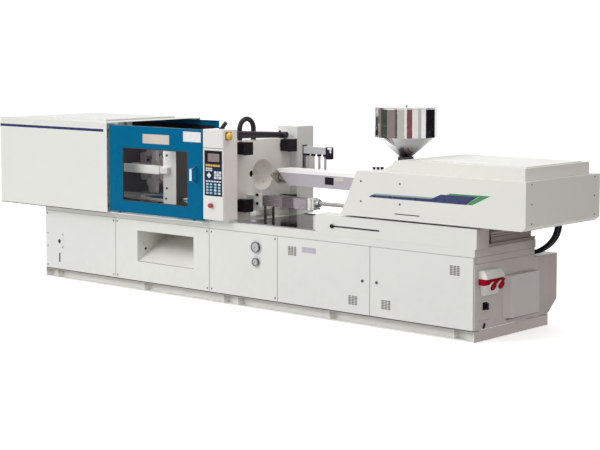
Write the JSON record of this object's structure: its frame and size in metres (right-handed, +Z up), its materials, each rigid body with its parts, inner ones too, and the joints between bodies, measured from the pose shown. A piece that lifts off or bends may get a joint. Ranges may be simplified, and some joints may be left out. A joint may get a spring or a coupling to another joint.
{
  "type": "injection moulding machine",
  "caption": "Horizontal injection moulding machine with toggle clamp, blue sliding safety gates, control box, hooded injection unit and conical hopper.",
  "frame": {"origin": "On the floor, under the middle cross sill, on the machine's centre plane.", "axes": "+X from the clamp end to the injection end, +Y away from the operator, +Z up."},
  "size_m": [5.762, 1.236, 1.671],
  "materials": {
    "cream_paint": "semi-gloss cream white enamel",
    "grey_paint": "semi-gloss mid grey enamel",
    "blue_paint": "gloss blue enamel",
    "dark_steel": "dark grey satin",
    "platen_paint": "light grey painted casting, machined faces",
    "ground_steel": "ground and hard chromed",
    "link_steel": "milled steel",
    "mirror_steel": "polished stainless sheet",
    "polished_plate": "polished steel sheet",
    "black_plastic": "matt black",
    "keypad_foil": "printed foil over keys",
    "stop_red": "gloss red",
    "lamp_amber": "translucent amber",
    "pane": "clear polycarbonate",
    "socket_red": "gloss red",
    "socket_white": "gloss white",
    "hose_rubber": "black rubber, double run",
    "cover_grey": "lilac grey paint",
    "nozzle_bronze": "heat-browned bronze and chrome"
  },
  "bodies": {
    "machine": {"base_frame": "cream_paint", "bed_panels": "cream_paint", "panel_screws": "dark_steel", "drop_chute": "cream_paint", "pressure_gauges": "ground_steel", "bed_plate": "polished_plate", "way_cover": "cream_paint", "carriage_rails": "link_steel", "end_panel": "grey_paint", "rear_cabinet": "cream_paint", "socket_housing": "socket_white", "clamp_guard": "cream_paint", "control_box": "cream_paint", "keypad": "keypad_foil", "alarm_lamp": "lamp_amber", "rear_post": "cream_paint", "platen_conduits": "black_plastic", "stationary_platen": "platen_paint", "tie_bars": "ground_steel", "tie_bar_caps": "black_plastic", "seat_cylinder": "cover_grey", "water_manifold": "grey_paint", "hydraulic_hoses": "hose_rubber"},
    "left_door": {"cabinet_door_left": "cream_paint"},
    "right_door": {"cabinet_door_right": "cream_paint"},
    "left_latch": {"door_latch_left": "dark_steel"},
    "right_latch": {"door_latch_right": "dark_steel"},
    "left_lid": {"socket_lid_left": "socket_red"},
    "right_lid": {"socket_lid_right": "socket_red"},
    "main_switch": {"main_switch_knob": "black_plastic"},
    "stop_knob": {"slot_knob": "black_plastic"},
    "operator_gate": {"front_gate": "blue_paint", "gate_window": "pane", "gate_handle": "ground_steel"},
    "far_gate": {"rear_gate": "blue_paint"},
    "stop_button": {"emergency_stop": "stop_red"},
    "tail": {"tail_platen": "platen_paint", "clamp_cylinder": "grey_paint"},
    "moving": {"moving_platen": "platen_paint", "ejector_cylinder": "grey_paint", "safety_bar": "cream_paint"},
    "ejector": {"ejector_rod": "ground_steel"},
    "cross": {"crosshead": "link_steel"},
    "upper_rear": {"upper_rear_link": "link_steel"},
    "lower_rear": {"lower_rear_link": "link_steel"},
    "upper_front": {"upper_front_link": "link_steel"},
    "lower_front": {"lower_front_link": "link_steel"},
    "upper_short": {"upper_short_link": "link_steel"},
    "lower_short": {"lower_short_link": "link_steel"},
    "carriage": {"injection_carriage": "grey_paint", "barrel": "link_steel", "nozzle": "nozzle_bronze", "barrel_cover": "cover_grey", "hood": "cream_paint", "hopper": "mirror_steel", "hopper_lid": "mirror_steel", "injection_cylinders": "grey_paint"},
    "pusher": {"injection_crosshead": "grey_paint"},
    "screw": {"screw": "link_steel"},
    "shutter": {"hopper_shutter": "link_steel"}
  },
  "joints": [
    {"name": "tail_adjust", "type": "slide", "parent": "machine", "child": "tail", "axis": [1, 0, 0], "range_m": [-0.3, 0.04]},
    {"name": "clamp_travel", "type": "slide", "parent": "tail", "child": "moving", "axis": [1, 0, 0], "range_m": [-0.077, 0.277]},
    {"name": "crosshead_travel", "type": "slide", "parent": "tail", "child": "cross", "axis": [1, 0, 0], "range_m": [-0.0385, 0.1385]},
    {"name": "upper_rear_pivot", "type": "hinge", "parent": "tail", "child": "upper_rear", "pos_m": [-1.85395, 0, 1.312], "axis": [0, 1, 0], "range_deg": [-59.57, 16.57]},
    {"name": "lower_rear_pivot", "type": "hinge", "parent": "tail", "child": "lower_rear", "pos_m": [-1.85395, 0, 0.762], "axis": [0, 1, 0], "range_deg": [-16.57, 59.57]},
    {"name": "upper_knee", "type": "hinge", "parent": "upper_rear", "child": "upper_front", "pos_m": [-1.83391, 0, 1.08288], "axis": [0, 1, 0], "range_deg": [-22.73, 81.72]},
    {"name": "lower_knee", "type": "hinge", "parent": "lower_rear", "child": "lower_front", "pos_m": [-1.83391, 0, 0.99113], "axis": [0, 1, 0], "range_deg": [-81.72, 22.73]},
    {"name": "upper_short_pivot", "type": "hinge", "parent": "cross", "child": "upper_short", "pos_m": [-2.02925, 0, 1.132], "axis": [0, 1, 0], "range_deg": [-2.78, 0.78]},
    {"name": "lower_short_pivot", "type": "hinge", "parent": "cross", "child": "lower_short", "pos_m": [-2.02925, 0, 0.942], "axis": [0, 1, 0], "range_deg": [-0.78, 2.78]},
    {"name": "ejector_stroke", "type": "slide", "parent": "moving", "child": "ejector", "axis": [1, 0, 0], "range_m": [0, 0.1]},
    {"name": "operator_gate_slide", "type": "slide", "parent": "machine", "child": "operator_gate", "axis": [-1, 0, 0], "range_m": [0, 0.9]},
    {"name": "far_gate_slide", "type": "slide", "parent": "machine", "child": "far_gate", "axis": [1, 0, 0], "range_m": [0, 0.908]},
    {"name": "carriage_slide", "type": "slide", "parent": "machine", "child": "carriage", "axis": [1, 0, 0], "range_m": [-0.2, 0.1]},
    {"name": "shutter_slide", "type": "slide", "parent": "carriage", "child": "shutter", "axis": [0, -1, 0], "range_m": [0, 0.075]},
    {"name": "injection_stroke", "type": "slide", "parent": "carriage", "child": "pusher", "axis": [1, 0, 0], "range_m": [-0.195, 0]},
    {"name": "screw_turn", "type": "hinge", "parent": "pusher", "child": "screw", "pos_m": [0.5, 0, 1.037], "axis": [1, 0, 0], "continuous": true},
    {"name": "emergency_press", "type": "slide", "parent": "machine", "child": "stop_button", "axis": [0, 1, 0], "range_m": [0, 0.006], "stiffness_N_per_m": 400},
    {"name": "switch_turn", "type": "hinge", "parent": "machine", "child": "main_switch", "pos_m": [1.9, -0.357, 0.253], "axis": [1, 0, 0], "range_deg": [0, 90]},
    {"name": "stop_knob_slide", "type": "slide", "parent": "machine", "child": "stop_knob", "axis": [1, 0, 0], "range_m": [0, 0.44]},
    {"name": "left_lid_hinge", "type": "hinge", "parent": "machine", "child": "left_lid", "pos_m": [1.98621, -0.345, 0.44687], "axis": [0, -1, 0], "range_deg": [0, 100], "stiffness_Nm_per_rad": 0.05},
    {"name": "right_lid_hinge", "type": "hinge", "parent": "machine", "child": "right_lid", "pos_m": [1.98621, -0.205, 0.44687], "axis": [0, -1, 0], "range_deg": [0, 100], "stiffness_Nm_per_rad": 0.05},
    {"name": "left_door_hinge", "type": "hinge", "parent": "machine", "child": "left_door", "pos_m": [-0.005, -0.485, 0.35], "axis": [0, 0, -1], "range_deg": [0, 110]},
    {"name": "right_door_hinge", "type": "hinge", "parent": "machine", "child": "right_door", "pos_m": [1.888, -0.485, 0.35], "axis": [0, 0, 1], "range_deg": [0, 110]},
    {"name": "left_latch_turn", "type": "hinge", "parent": "left_door", "child": "left_latch", "pos_m": [0.866, -0.485, 0.343], "axis": [0, 1, 0], "range_deg": [0, 90]},
    {"name": "right_latch_turn", "type": "hinge", "parent": "right_door", "child": "right_latch", "pos_m": [1.004, -0.485, 0.345], "axis": [0, 1, 0], "range_deg": [0, 90]}
  ],
  "couplings": [
    {"joint": "crosshead_travel", "follows": "clamp_travel", "ratio": 0.5},
    {"joint": "upper_rear_pivot", "follows": "clamp_travel", "rad_per_m": -3.7525},
    {"joint": "lower_rear_pivot", "follows": "clamp_travel", "rad_per_m": 3.7525},
    {"joint": "upper_knee", "follows": "clamp_travel", "rad_per_m": 5.1487},
    {"joint": "lower_knee", "follows": "clamp_travel", "rad_per_m": -5.1487},
    {"joint": "upper_short_pivot", "follows": "clamp_travel", "rad_per_m": -0.1745},
    {"joint": "lower_short_pivot", "follows": "clamp_travel", "rad_per_m": 0.1745}
  ]
}
